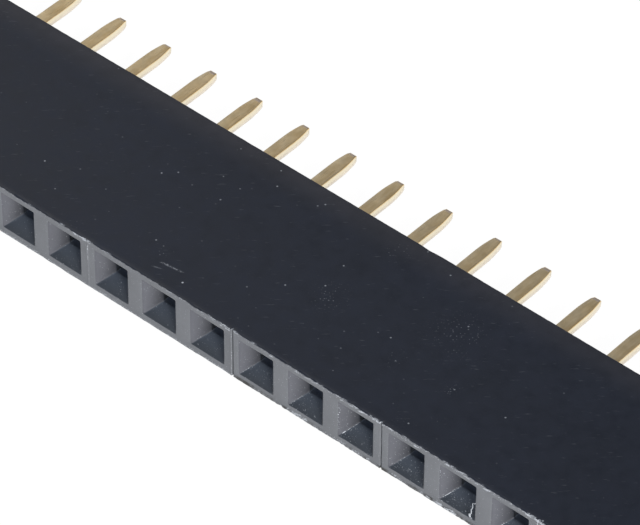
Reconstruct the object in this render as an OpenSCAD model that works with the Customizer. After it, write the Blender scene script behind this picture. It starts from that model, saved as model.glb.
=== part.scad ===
// Female pin header strip: one row of sockets at 2.54 mm pitch, lying on its broad side.
// X runs along the row, Y points the way the solder tails point, and Z is up.
// The origin is on the resting plane, below the middle of the whole outline.
// Depths are measured along +Y from the entry face, where the pins go in.

/* [Strip] */
// Number of sockets in the row
positions = 40; // [2:1:50]
// Centre distance between neighbouring sockets
pitch = 2.54; // [2.1:0.01:3.3]

/* [Housing] */
// Depth of the moulding from the entry face to the board face
housing_depth = 8.5; // [7:0.1:12]
// Thickness of the moulding from its resting side to its upper side
housing_thickness = 2.54; // [2.1:0.02:4]
// Radius along the long edges and the four end edges
edge_radius = 0.04; // [0.02:0.01:0.15]

/* [Socket] */
// Width of the funnel's mouth along the row
mouth_width = 1.75; // [1.2:0.05:1.95]
// Height of the funnel's mouth
mouth_height = 1.85; // [1.2:0.05:1.95]
// Depth of the funnel
funnel_depth = 0.65; // [0.3:0.05:0.9]
// Side of the square hole that guides the pin
pin_hole = 0.74; // [0.7:0.02:1]
// Depth of the guide hole's wall behind the funnel, ahead of the contact's slot
throat_length = 0.55; // [0.3:0.05:0.8]

/* [Contact] */
// Thickness of the metal strip that the contact is stamped from
stock_thickness = 0.4; // [0.25:0.01:0.45]
// Width of one spring arm
tine_width = 0.38; // [0.3:0.01:0.42]
// Gap between the two rounded noses, less than the 0.64 mm pin that spreads them
nose_gap = 0.5; // [0.4:0.01:0.58]
// Radius of each nose
nose_radius = 0.55; // [0.4:0.05:0.9]
// Distance from the front of the arms to the middle of the noses
nose_setback = 0.65; // [0.5:0.05:1]
// Length of the solid body that is pressed into the housing
body_length = 1.75; // [1.2:0.05:2.2]
// Width of the body, without its barbs
body_width = 1.84; // [1.74:0.01:1.9]
// Depth of the body's end below the board face
body_recess = 0.15; // [0.05:0.05:0.4]
// Length of one retaining barb along the body
barb_length = 0.4; // [0.2:0.05:0.5]

/* [Solder tail] */
// Width of the tail
tail_width = 0.6; // [0.45:0.01:0.8]
// Length of the tail beyond the board face
tail_length = 3.2; // [2.3:0.05:6]
// Width of the tail's blunt tip
tip_width = 0.34; // [0.2:0.01:0.4]
// Length over which the tail curves in to its tip
taper_length = 1.15; // [0.6:0.05:2]
// Length of the bevels on the tip's two broad faces
tip_bevel_length = 0.2; // [0.1:0.05:0.4]
// Depth of each of those bevels
tip_bevel_depth = 0.08; // [0.03:0.01:0.1]
// Radius in the corners between the tail and the body
root_radius = 0.12; // [0.05:0.01:0.14]

/* [Clearances] */
// Gap between the contact's broad faces and its slot, on each side
face_clearance = 0.03; // [0.01:0.01:0.08]
// Gap between the body's edges and its slot, which the barbs bridge
side_clearance = 0.03; // [0.01:0.01:0.08]
// Room for each arm to spread when a pin goes in
spread_clearance = 0.09; // [0.08:0.01:0.12]
// Gap between the front of the arms and the end of their slot
front_clearance = 0.2; // [0.1:0.05:0.4]
// Web left between the end of the fork's gap and the body
root_web = 0.4; // [0.2:0.05:0.6]

/* [Hidden] */
$fn = 48;

// Digits in a contact's number, so that the names sort in order
function contact_name(number) = str("contact_", number < 10 ? "0" : "", number);

// The whole outline
housing_length = positions * pitch;
whole_depth = housing_depth + tail_length;
entry_y = -whole_depth / 2;
mid_height = housing_thickness / 2;
function socket_x(number) = (number - (positions + 1) / 2) * pitch;

// Depths along the socket
slot_front = funnel_depth + throat_length;
tine_front = slot_front + front_clearance;
nose_depth = tine_front + nose_setback;
body_end = housing_depth - body_recess;
body_front = body_end - body_length;
fork_end = body_front - root_web;
tail_end = housing_depth + tail_length;

// Widths across the socket: the fork's gap is as wide as the pin's guide hole
fork_gap = pin_hole;
fork_width = fork_gap + 2 * tine_width;
tine_slot_width = fork_width + 2 * spread_clearance;
body_slot_width = body_width + 2 * side_clearance;
slot_height = stock_thickness + 2 * face_clearance;

// Lead-in at the outer front corner of each arm
lead_in_width = 0.14;
lead_in_length = 0.35;

// Radius of the arcs that draw the tail in to its tip
tip_draw = (tail_width - tip_width) / 2;
taper_radius = (taper_length * taper_length + tip_draw * tip_draw) / (2 * tip_draw);

// How far a cutting shape runs past the face that it opens
overcut = 0.5;

// Flat shape with round corners, centred on the origin
module rounded_plate(width, height, radius) {
    union() {
        square([width - 2 * radius, height], center = true);
        square([width, height - 2 * radius], center = true);
        for (side_x = [-1, 1], side_y = [-1, 1])
            translate([side_x * (width / 2 - radius), side_y * (height / 2 - radius)])
                circle(r = radius);
    }
}

// Moulded bar, with round long edges and round end edges
module bar() {
    intersection() {
        translate([-housing_length / 2, entry_y + housing_depth / 2, mid_height])
            rotate([90, 0, 90])
                linear_extrude(housing_length)
                    rounded_plate(housing_depth, housing_thickness, edge_radius);
        translate([0, entry_y + housing_depth / 2, 0])
            linear_extrude(housing_thickness)
                rounded_plate(housing_length, housing_depth, edge_radius);
    }
}

// Wedge that narrows from a mouth at the entry face to the guide hole
module funnel_wedge(mouth, span) {
    slope = (mouth - pin_hole) / 2 / funnel_depth;
    front_half = mouth / 2 + slope * overcut;
    linear_extrude(span, center = true)
        polygon([
            [-front_half, -overcut], [front_half, -overcut],
            [pin_hole / 2, funnel_depth], [-pin_hole / 2, funnel_depth]
        ]);
}

// Square funnel that leads a pin into its hole: two crossed wedges
module funnel() {
    intersection() {
        funnel_wedge(mouth_width, 2 * mouth_height);
        rotate([0, 90, 0])
            funnel_wedge(mouth_height, 2 * mouth_width);
    }
}

// Box centred across the socket, between two depths
module channel(width, height, from_depth, to_depth) {
    translate([-width / 2, from_depth, -height / 2])
        cube([width, to_depth - from_depth, height]);
}

// Everything that is hollow in one socket, measured from the entry face and the mid height
module socket_cut() {
    union() {
        funnel();
        channel(pin_hole, pin_hole, funnel_depth - overcut, fork_end);
        channel(tine_slot_width, slot_height, slot_front, body_front);
        channel(body_slot_width, slot_height, body_front, housing_depth + overcut);
    }
}

module housing() {
    color("#2b2e35")
        difference() {
            bar();
            for (number = [1:positions])
                translate([socket_x(number), entry_y, mid_height])
                    socket_cut();
        }
}

// Fork blank: both arms and the pressed body
module fork_blank() {
    half = fork_width / 2;
    polygon([
        [-half + lead_in_width, tine_front], [half - lead_in_width, tine_front],
        [half, tine_front + lead_in_length], [half, body_front],
        [body_width / 2, body_front], [body_width / 2, body_end],
        [-body_width / 2, body_end], [-body_width / 2, body_front],
        [-half, body_front], [-half, tine_front + lead_in_length]
    ]);
}

// Gap that the pin enters, with a round end
module fork_gap_outline() {
    translate([-fork_gap / 2, tine_front - overcut])
        square([fork_gap, fork_end - fork_gap / 2 - tine_front + overcut]);
    translate([0, fork_end - fork_gap / 2])
        circle(d = fork_gap);
}

// Rounded nose on the inner edge of one arm
module nose(side) {
    reach = (fork_gap + tine_width - nose_gap) / 2;
    intersection() {
        translate([side * (nose_gap / 2 + nose_radius), nose_depth])
            circle(r = nose_radius);
        translate([side * (nose_gap + reach) / 2, nose_depth])
            square([reach, 2 * nose_setback], center = true);
    }
}

// Pair of saw-tooth barbs, one on each edge of the body, with their steps towards the board
module barb_pair(step_depth) {
    ramp_start = step_depth - barb_length;
    polygon([
        [-body_width / 2, ramp_start], [body_width / 2, ramp_start],
        [body_slot_width / 2, step_depth], [-body_slot_width / 2, step_depth]
    ]);
}

// What is trimmed from one edge of the tail to curve it in to its tip
module tip_trim(side) {
    taper_start = tail_end - taper_length;
    difference() {
        translate([side * tail_width / 2, taper_start + taper_length])
            square([2 * tip_draw, 2 * taper_length], center = true);
        translate([side * (tail_width / 2 - taper_radius), taper_start])
            circle(r = taper_radius, $fn = 360);
    }
}

// Tail with its curved tip, and round corners at its root
module tail_outline() {
    difference() {
        translate([-tail_width / 2, body_end - root_web])
            square([tail_width, tail_end - body_end + root_web]);
        tip_trim(-1);
        tip_trim(1);
    }
    difference() {
        translate([-tail_width / 2 - root_radius, body_end - root_web])
            square([tail_width + 2 * root_radius, root_web + root_radius]);
        for (side = [-1, 1])
            translate([side * (tail_width / 2 + root_radius), body_end + root_radius])
                circle(r = root_radius);
    }
}

// Plan of the whole stamping
module stamping_plan() {
    difference() {
        fork_blank();
        fork_gap_outline();
    }
    nose(-1);
    nose(1);
    barb_pair(body_front + body_length / 2);
    barb_pair(body_end - body_length / 8);
    tail_outline();
}

// Side view of the stamping: the stock's thickness, bevelled at the tip
module stamping_side() {
    half = stock_thickness / 2;
    polygon([
        [tine_front, -half], [tail_end - tip_bevel_length, -half],
        [tail_end, tip_bevel_depth - half], [tail_end, half - tip_bevel_depth],
        [tail_end - tip_bevel_length, half], [tine_front, half]
    ]);
}

// One fork contact, stamped with its tail from flat strip
module contact(number) {
    color("#c2ae7c")
        translate([socket_x(number), entry_y, mid_height])
            intersection() {
                translate([0, 0, -stock_thickness / 2])
                    linear_extrude(stock_thickness)
                        stamping_plan();
                translate([-body_slot_width / 2, 0, 0])
                    rotate([90, 0, 90])
                        linear_extrude(body_slot_width)
                            stamping_side();
            }
}

housing();
for (number = [1:positions])
    contact(number);
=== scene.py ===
"""Looks of a female pin header strip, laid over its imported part.

Lengths are worked out in millimetres and turned to metres as each mesh is made.
X runs along the row, Y points the way the solder tails point, and Z is up.
"""

import math
from functools import partial

import bmesh
import bpy
import numpy as np
from mathutils import Matrix, Vector
from mathutils.geometry import delaunay_2d_cdt


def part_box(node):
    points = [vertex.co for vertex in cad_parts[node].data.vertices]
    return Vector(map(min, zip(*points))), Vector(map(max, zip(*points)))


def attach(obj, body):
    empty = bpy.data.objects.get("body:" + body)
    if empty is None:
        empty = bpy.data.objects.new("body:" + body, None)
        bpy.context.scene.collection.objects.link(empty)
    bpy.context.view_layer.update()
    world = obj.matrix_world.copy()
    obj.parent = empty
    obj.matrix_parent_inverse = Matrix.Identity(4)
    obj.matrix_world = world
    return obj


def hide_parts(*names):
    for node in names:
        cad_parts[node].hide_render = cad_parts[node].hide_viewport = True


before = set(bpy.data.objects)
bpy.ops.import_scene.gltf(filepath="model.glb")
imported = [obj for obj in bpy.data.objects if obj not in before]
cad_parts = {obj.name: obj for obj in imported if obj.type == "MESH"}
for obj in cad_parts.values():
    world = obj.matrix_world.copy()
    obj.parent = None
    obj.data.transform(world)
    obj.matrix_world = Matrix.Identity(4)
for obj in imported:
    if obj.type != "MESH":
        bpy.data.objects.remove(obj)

bl_info = {
    "name": "Female pin header strip",
    "version": (1, 0, 0),
    "blender": (4, 5, 0),
    "location": "View3D > Sidebar > Pin header",
    "description": "Moulded housing, stamped contacts and a studio for a strip of pin sockets",
    "category": "Object",
}

MM = 0.001
BODY = "root"


def linear(code):
    """An sRGB hex value as linear red, green, blue and an alpha of 1."""
    parts = [int(code[i:i + 2], 16) / 255 for i in (1, 3, 5)]
    return tuple(c / 12.92 if c <= 0.04045 else ((c + 0.055) / 1.055) ** 2.4 for c in parts) + (1.0,)


def node_box(name):
    """Lowest and highest corner of a CAD node, in millimetres."""
    return [np.array(corner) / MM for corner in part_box(name)]


# ---------------------------------------------------------------- what the frame says

CONTACTS = sorted(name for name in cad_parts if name.startswith("contact_"))
CONTACT_BOXES = [node_box(name) for name in CONTACTS]
HOUSING_LOW, HOUSING_HIGH = node_box("housing")
CONTACT_X = [float(low[0] + high[0]) / 2 for low, high in CONTACT_BOXES]
END_X, BOARD_Y, TOP_Z = [float(c) for c in HOUSING_HIGH]
ENTRY_Y = float(HOUSING_LOW[1])
FLOOR_Z = float(HOUSING_LOW[2])
TAIL_END_Y = float(CONTACT_BOXES[0][1][1])
STOCK = float(CONTACT_BOXES[0][1][2] - CONTACT_BOXES[0][0][2])
MID_Z = (FLOOR_Z + TOP_Z) / 2

# The stamping's plan inside the moulding, as in the CAD: half widths, and depths behind the entry face.
FORK_HALF = 0.75
GAP_HALF = 0.37
BODY_HALF = 0.92
BARB_HALF = 0.95
TINE_FRONT = 1.4
LEAD_IN_WIDTH = 0.14
LEAD_IN_END = 1.75
NOSE_DEPTH = 2.05
NOSE_RADIUS = 0.55
NOSE_TURN = 38.6
FORK_END = 6.2
BODY_FRONT = 6.6
BODY_END = 8.35
BARB_STEPS = (8.131, 7.475)
BARB_LENGTH = 0.4
ROOT_RADIUS = 0.12


# ---------------------------------------------------------------- sizes and colours

def number(name, description, default, **kind):
    """A number property, with its subtype and unit."""
    return bpy.props.FloatProperty(name=name, description=description, default=default, **kind)


def length(name, description, millimetres):
    """A length property with its default in millimetres."""
    kind = {"min": 0.0, "subtype": "DISTANCE", "unit": "LENGTH", "precision": 6}
    return number(name, description, millimetres * MM, **kind)


def angle(name, description, degrees):
    """An angle property with its default in degrees."""
    return number(name, description, math.radians(degrees), subtype="ANGLE", unit="ROTATION")


def colour(name, description, code):
    """A colour property with its default as an sRGB hex value."""
    return bpy.props.FloatVectorProperty(
        name=name, description=description, default=linear(code), size=4, min=0.0, max=1.0,
        subtype="COLOR",
    )


class HousingLook(bpy.types.PropertyGroup):
    """Sizes and colours of the moulded housing."""

    mouth_width: length("Mouth width", "Width of each funnel's mouth along the row", 1.75)
    mouth_height: length("Mouth height", "Height of each funnel's mouth", 1.85)
    funnel_depth: length("Funnel depth", "Depth of the funnel behind the entry face", 0.65)
    pin_hole: length("Pin hole", "Side of the square hole behind the funnel", 0.74)
    throat_depth: length("Throat depth", "Depth at which the contact's slot starts", 1.2)
    edge_radius: length("Edge radius", "Radius along the long edges", 0.04)
    mouth_radius: length("Mouth radius", "Radius around each mouth", 0.05)
    plastic: colour("Plastic", "Colour of the smooth broad faces", "#131a29")
    # Painted sheen: a lighter grey for the broad faces beside the board edge, standing in for their
    # reflection.
    painted_sheen_plastic: colour("Painted sheen edge", "Colour of the broad faces beside the board edge", "#333237")
    # Partly real, partly painted: the rough finish makes the entry face a little greyer, and the rest of this
    # light grey is painted reflection of the bright floor.
    entry_plastic_with_painted_sheen: colour("Entry face", "Colour of the rough entry face", "#727478")
    # Painted light and shade: the funnels' floors and ceilings get their own colour, drawn darker near the
    # mouth and lighter deeper in.
    funnel_floor_painted_shading: colour("Funnel floors", "Colour of the funnels' floors and ceilings", "#41474f")
    # Painted light and shade: the funnels' side walls get their own colour, drawn lighter near the mouth,
    # where light falls in, and darker deeper in.
    funnel_flank_painted_shading: colour("Funnel flanks", "Colour of the funnels' side walls", "#4d4e54")
    # Painted light: the bores' colour is far lighter than the plastic, to light the deep hole against its
    # shade; it is drawn darker where the throat starts.
    bore_painted_shading: colour("Bores", "Colour deep inside the sockets", "#868f9e")
    # Painted shade: this dark colour stands in for the contact shadow along the lower entry edge, and darkens
    # the throats' side walls.
    painted_dark_shade: colour("Painted dark shade", "Colour where flash was torn off", "#1c1c17")
    # Also paints the glints on chipped mouth edges and the highlight in the funnels' valleys.
    scuffs_and_glints: colour("Scuffs and painted glints", "Colour of scratches, dust and chipped edges", "#c3c7cc")
    seed: bpy.props.IntProperty(name="Seed", description="Seed of the wear", default=7)


class ContactLook(bpy.types.PropertyGroup):
    """Sizes and colours of the stamped contacts."""

    tail_width: length("Tail width", "Width of the solder tail", 0.6)
    tip_width: length("Tip width", "Width of the tail's blunt tip", 0.34)
    taper_length: length("Taper length", "Length over which the tail curves in", 1.15)
    rolled_edge: length("Rolled edge", "Radius that the punch leaves on the upper edges", 0.045)
    burr_edge: length("Lower edge", "Radius on the edges where the punch breaks out", 0.012)
    plating: colour("Plating", "Colour of the plated broad faces", "#fee6ba")
    # Also paints the shade along the tails' right-hand edges.
    bronze_and_edge_shade: colour("Bronze", "Colour of the bronze that shows through thin plating", "#dbb574")
    bare: colour("Bare tip", "Colour of the bare metal where the tail was parted", "#ecd6bd")
    # Painted highlight: the cut edges' colours are paler than the metal, standing in for the bright floor
    # reflected in them.
    sheared_with_painted_highlight: colour("Sheared edge", "Colour of the smooth part of the cut edges", "#f4e9ce")
    fractured_with_painted_highlight: colour("Fractured edge", "Colour of the torn part of the cut edges", "#faf0e0")
    seed: bpy.props.IntProperty(name="Seed", description="Seed of the small differences", default=11)


class StudioLook(bpy.types.PropertyGroup):
    """Floor, light and camera."""

    floor: colour("Floor", "Colour of the floor", "#f4f4f4")
    sky: number("Sky", "Light from all round", 0.32)
    overhead: number("Overhead", "Softbox above", 0.115, unit="POWER")
    front: number("Front", "Low softbox at the front", 1.08, unit="POWER")
    rear: number("Rear", "Softbox behind", 0.0014, unit="POWER")
    azimuth: angle("Azimuth", "Turn of the camera from the front, towards +X", 40.75)
    elevation: angle("Elevation", "Height of the camera over the floor", 43.55)
    roll: angle("Roll", "Roll of the camera", 0.42)
    distance: length("Distance", "From the camera to the point it looks at", 185.94)
    lens: number("Lens", "Focal length", 266.8, unit="CAMERA")


# ---------------------------------------------------------------- materials

MULTIPLY = {"operation": "MULTIPLY"}
MAXIMUM = {"operation": "MAXIMUM"}
SCALED = {"operation": "SCALE"}
COLOURS = {"data_type": "RGBA"}
SMOOTH_STEP = {"interpolation_type": "SMOOTHSTEP"}
SCUFFS_AND_PAINTED_LIGHT = {"attribute_name": "scuffed"}
RUBBED_OR_PAINTED_SHADE = {"attribute_name": "rubbed_or_torn"}
WHITE = (1.0, 1.0, 1.0, 1.0)
# Almost all of a noise lies between these two values.
NOISE = {"From_Min": 0.3, "From_Max": 0.7}


def add_node(tree, kind, settings=None, out=0, **links):
    """Adds a node with its settings, and its inputs set to values or linked. Returns one of its outputs."""
    node = tree.nodes.new("ShaderNode" + kind)
    for name, value in (settings or {}).items():
        setattr(node, name, value)
    for name, value in links.items():
        key = name.replace("_", " ")
        socket = node.inputs[int(key[3:])] if key.startswith("in ") else node.inputs[key]
        if isinstance(value, bpy.types.NodeSocket):
            tree.links.new(value, socket)
        else:
            socket.default_value = value
    return node.outputs if out is None else node.outputs[out]


def empty_tree(owner):
    """Empties the node tree of a material or a world. Returns add_node for that tree."""
    owner.use_nodes = True
    owner.node_tree.nodes.clear()
    return partial(add_node, owner.node_tree)


def new_material(name):
    """An empty material, add_node for its tree, and the places on the object."""
    material = bpy.data.materials.new(name)
    node = empty_tree(material)
    return material, node, node("TexCoord", out="Object")


def finish_surface(node, colour, gloss, roughness, relief, strength, height, **others):
    """A Principled shader on the output: roughness follows one texture, and a bump in mm another."""
    rough = node("MapRange", Value=gloss, To_Min=roughness[0], To_Max=roughness[1], **NOISE)
    bump = node("Bump", Height=relief, Strength=strength, Distance=height * MM)
    shader = node("BsdfPrincipled", Base_Color=colour, Roughness=rough, Normal=bump, **others)
    node("OutputMaterial", out=None, Surface=shader)


def per_mm(size):
    """Texture scale for a pattern whose cells are `size` millimetres, on coordinates in metres."""
    return 1.0 / (size * MM)


def scattered_specks(node, place, cell, rim, core, strongest, channel, rarity):
    """Pale specks, one in each cell of that size in mm: most are faint, and a few are strong."""
    cells = node("TexVoronoi", out=None, Vector=place, Scale=per_mm(cell))
    dot = node(
        "MapRange", Value=cells["Distance"], From_Min=rim, From_Max=core, To_Max=strongest
    )
    pick = node("SeparateColor", out=channel, Color=cells["Color"])
    light = node("Math", {"operation": "POWER"}, in_0=pick, in_1=rarity)
    return node("Math", MULTIPLY, in_0=dot, in_1=light)


# Single dust specks on the broad face: place along the row, depth, radius, strength.
DUST = (
    (-0.62, 0.69, 0.05, 1.0), (3.68, 4.24, 0.045, 0.5), (0.63, 7.75, 0.045, 0.45), (13.54, 3.30, 0.045, 0.45),
    (9.33, 6.17, 0.045, 0.4), (-2.69, 5.21, 0.045, 0.4), (-1.75, 1.05, 0.05, 0.4), (11.13, 3.17, 0.045, 0.35),
)
# The part of a dust speck's radius over which it is at its full strength.
DUST_CORE = 0.6


def polished_mould_pbt(look):
    """Glass-filled PBT moulded against polished steel: near black, satin, with dust and hairline scratches.

    The glass fibre under the skin gives the satin sheen a faint mottle, and fingers left smudges on it.
    """
    material, node, place = new_material("glass_filled_pbt_polished_mould")
    mottle = node("TexNoise", Vector=place, Scale=per_mm(3.2), Detail=4.0)
    # Fibre grain is about 0.01 mm; it is drawn at 0.06 mm so that it shows.
    grain = node("TexNoise", Vector=place, Scale=per_mm(0.06), Detail=3.0)
    smudges = node("TexNoise", Vector=place, Scale=per_mm(0.55), Detail=5.0)
    # Dust specks of 0.05 to 0.1 mm across.
    speck = scattered_specks(node, place, 0.5, 0.095, 0.05, 0.6, "Red", 5.0)
    # Rubbed patches hold many more and finer specks.
    rubbed_and_shaded = node("Attribute", RUBBED_OR_PAINTED_SHADE, "Fac")
    fine = node("TexVoronoi", out="Distance", Vector=place, Scale=per_mm(0.13))
    fine_dot = node("MapRange", Value=fine, From_Min=0.24, From_Max=0.12, To_Max=0.45)
    fine_speck = node("Math", MULTIPLY, in_0=fine_dot, in_1=rubbed_and_shaded)
    # Short rubs about 0.07 mm wide and 0.45 mm long, slantwise over the strip.
    along = node(
        "Mapping", {"vector_type": "TEXTURE"}, Vector=place,
        Rotation=(0.0, 0.0, 0.72), Scale=(0.45 * MM, 0.07 * MM, 0.45 * MM),
    )
    hair = node("TexNoise", Vector=along, Scale=1.0, Detail=2.0)
    hairline = node("MapRange", Value=hair, From_Min=0.68, From_Max=0.80, To_Max=0.1)
    # The two scratches are broken up by the grain.
    scuffed = node("Attribute", SCUFFS_AND_PAINTED_LIGHT, "Fac")
    broken = node("MapRange", Value=grain, From_Min=0.35, From_Max=0.6)
    scratch = node("Math", MULTIPLY, in_0=scuffed, in_1=broken)
    marks = node("Math", MAXIMUM, in_0=speck, in_1=fine_speck)
    lines = node("Math", MAXIMUM, in_0=hairline, in_1=scratch)
    worn = node("Math", {"operation": "MAXIMUM", "use_clamp": True}, in_0=marks, in_1=lines)
    for x, depth, radius, strength in DUST:
        middle = (x * MM, (ENTRY_Y + depth) * MM, TOP_Z * MM)
        away = node(
            "VectorMath", {"operation": "DISTANCE"}, "Value", in_0=place, in_1=middle
        )
        dot = node(
            "MapRange", Value=away,
            From_Min=radius * MM, From_Max=DUST_CORE * radius * MM, To_Max=strength,
        )
        worn = node("Math", MAXIMUM, in_0=worn, in_1=dot)
    tone = node("MapRange", Value=mottle, To_Min=0.9, To_Max=1.1, **NOISE)
    smudged = node("MapRange", Value=smudges, To_Min=0.86, To_Max=1.14, **NOISE)
    tones = node("Math", MULTIPLY, in_0=tone, in_1=smudged)
    # Painted sheen: the skin is drawn greyer towards the board edge, and more so on the left, standing in for
    # the brighter reflection that the satin face shows there.
    across = node("SeparateXYZ", out=None, Vector=place)
    nearer = node(
        "MapRange", SMOOTH_STEP, Value=across["Y"],
        From_Min=(BOARD_Y - 1.65) * MM, From_Max=(BOARD_Y + 0.35) * MM,
    )
    leftward = node(
        "MapRange", Value=across["X"],
        From_Min=-4 * MM, From_Max=14 * MM, To_Min=1.0, To_Max=0.7,
    )
    share = node("Math", MULTIPLY, in_0=nearer, in_1=leftward)
    lightened = node(
        "Mix", COLOURS, 2, in_0=share, in_6=look.plastic, in_7=look.painted_sheen_plastic
    )
    toned = node("VectorMath", SCALED, in_0=lightened, Scale=tones)
    mixed = node("Mix", COLOURS, 2, in_0=worn, in_6=toned, in_7=look.scuffs_and_glints)
    finish_surface(node, mixed, smudges, (0.4, 0.56), grain, 0.12, 0.004, IOR=1.46)
    return material


def textured_pbt(name, look, base, roughness, ior, flecked, depths=(0.0, MM), tones=(1.0, 1.0)):
    """The same PBT moulded against spark-eroded steel, as on the entry face, or against ground core pins.

    The tiny pits scatter light, so that it looks a little greyer, with pale flecks where they are chipped;
    the same pale colour paints glints and highlights. The base colours are lighter than the plastic: on the
    entry face partly from its finish and partly painted reflection of the bright floor, and in the funnels
    and bores painted light and shade, whose tone changes between the two depths behind the entry face.
    Flash was torn off in places; the dark patches there, and in the throats, are painted shade.
    """
    material, node, place = new_material(name)
    # Erosion pits are about 0.02 mm; they are drawn at 0.05 mm so that they show.
    pits = node("TexNoise", Vector=place, Scale=per_mm(0.05), Detail=4.0)
    cloud = node("TexNoise", Vector=place, Scale=per_mm(0.9), Detail=3.0)
    fleck = scattered_specks(node, place, 0.3, 0.13, 0.06, flecked, "Green", 4.0)
    torn_shade = node("Attribute", RUBBED_OR_PAINTED_SHADE, "Fac")
    # This mask holds chips, dust and scratches, and also painted glints and highlights.
    chips_and_painted_glints = node("Attribute", SCUFFS_AND_PAINTED_LIGHT, "Fac")
    # The more an edge is chipped, the more of its pits are broken open and pale.
    opened = node("Math", {"operation": "MULTIPLY_ADD"}, in_0=chips_and_painted_glints, in_1=0.45, in_2=pits)
    chip = node("MapRange", Value=opened, From_Min=0.66, From_Max=0.76)
    worn = node("Math", {"operation": "MAXIMUM", "use_clamp": True}, in_0=fleck, in_1=chip)
    tone = node("MapRange", Value=cloud, To_Min=0.93, To_Max=1.07, **NOISE)
    depth = node(
        "MapRange", SMOOTH_STEP, Value=node("SeparateXYZ", out="Y", Vector=place),
        From_Min=ENTRY_Y * MM + depths[0], From_Max=ENTRY_Y * MM + depths[1],
        To_Min=tones[0], To_Max=tones[1],
    )
    depth_tone = node("Math", MULTIPLY, in_0=tone, in_1=depth)
    toned = node("VectorMath", SCALED, in_0=base[:3], Scale=depth_tone)
    patched = node("Mix", COLOURS, 2, in_0=torn_shade, in_6=toned, in_7=look.painted_dark_shade)
    mixed = node("Mix", COLOURS, 2, in_0=worn, in_6=patched, in_7=look.scuffs_and_glints)
    finish_surface(node, mixed, pits, roughness, pits, 0.2, 0.006, IOR=ior)
    return material


def flash_gold_rolled(look):
    """Thin gold over nickel on rolled bronze strip: pale champagne, fine rolling lines along the tail.

    The rolling lines stretch the reflections across the tail, so that the broad faces look satin.
    """
    material, node, place = new_material("flash_gold_on_rolled_bronze")
    # Rolling lines are about 0.005 mm wide; they are drawn at 0.03 mm so that they show.
    along = node("Mapping", Vector=place, Scale=(per_mm(0.03), per_mm(1.2), per_mm(0.3)))
    lines = node("TexNoise", Vector=along, Scale=1.0, Detail=3.0)
    cloud = node("TexNoise", Vector=place, Scale=per_mm(0.45), Detail=3.0)
    tone = node("MapRange", Value=cloud, To_Min=0.88, To_Max=1.06, **NOISE)
    # The colour goes towards bronze near the right-hand edge, which is painted shade, and in streaks about
    # 0.2 mm wide along the tail, where the plating is thin.
    streaks = node("Mapping", Vector=place, Scale=(per_mm(0.2), per_mm(0.8), per_mm(0.3)))
    streak = node("TexNoise", Vector=streaks, Scale=1.0, Detail=2.0)
    streaky = node("MapRange", Value=streak, To_Min=-0.15, To_Max=0.25, **NOISE)
    edge_shade = node("Attribute", SCUFFS_AND_PAINTED_LIGHT, "Fac")
    bronze_share = node("Math", {"operation": "ADD", "use_clamp": True}, in_0=edge_shade, in_1=streaky)
    plated = node("Mix", COLOURS, 2, in_0=bronze_share, in_6=look.plating, in_7=look.bronze_and_edge_shade)
    # Painted shade: it is drawn a little darker near the housing, which shades it, and lighter towards the
    # tip.
    rubbed_and_shaded = node(
        "MapRange", Value=node("SeparateXYZ", out="Y", Vector=place),
        From_Min=BOARD_Y * MM, From_Max=TAIL_END_Y * MM, To_Min=0.91, To_Max=1.04,
    )
    tones = node("Math", MULTIPLY, in_0=tone, in_1=rubbed_and_shaded)
    toned = node("VectorMath", SCALED, in_0=plated, Scale=tones)
    finish_surface(node, toned, lines, (0.27, 0.42), lines, 0.25, 0.004, Metallic=1.0)
    return material


def flash_gold_cut(name, base, roughness, height):
    """The same plating over a cut edge, or bare bronze at a parted tip.

    It is smooth where the punch slid, and grainy where the strip tore. The cut edges' pale colours are
    painted highlight, standing in for the bright floor that they reflect.
    """
    material, node, place = new_material(name)
    # The punch drags lines of about 0.01 mm across the strip's thickness; they are drawn at 0.04 mm.
    across = node("Mapping", Vector=place, Scale=(per_mm(0.04), per_mm(0.04), per_mm(0.2)))
    drag = node("TexNoise", Vector=across, Scale=1.0, Detail=3.0)
    tone = node("MapRange", Value=drag, To_Min=0.94, To_Max=1.03, **NOISE)
    toned = node("VectorMath", SCALED, in_0=base[:3], Scale=tone)
    finish_surface(node, toned, drag, roughness, drag, 0.3, height, Metallic=1.0)
    return material


# ---------------------------------------------------------------- mesh building

# Marks of a point: how scuffed it is, which also carries painted glints, highlights and edge shade, and how
# rubbed or torn, which also carries painted shade. Most points are clean.
CLEAN = (0.0, 0.0)
# Points closer than this, in millimetres, are one point.
WELD = 0.0004


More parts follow.
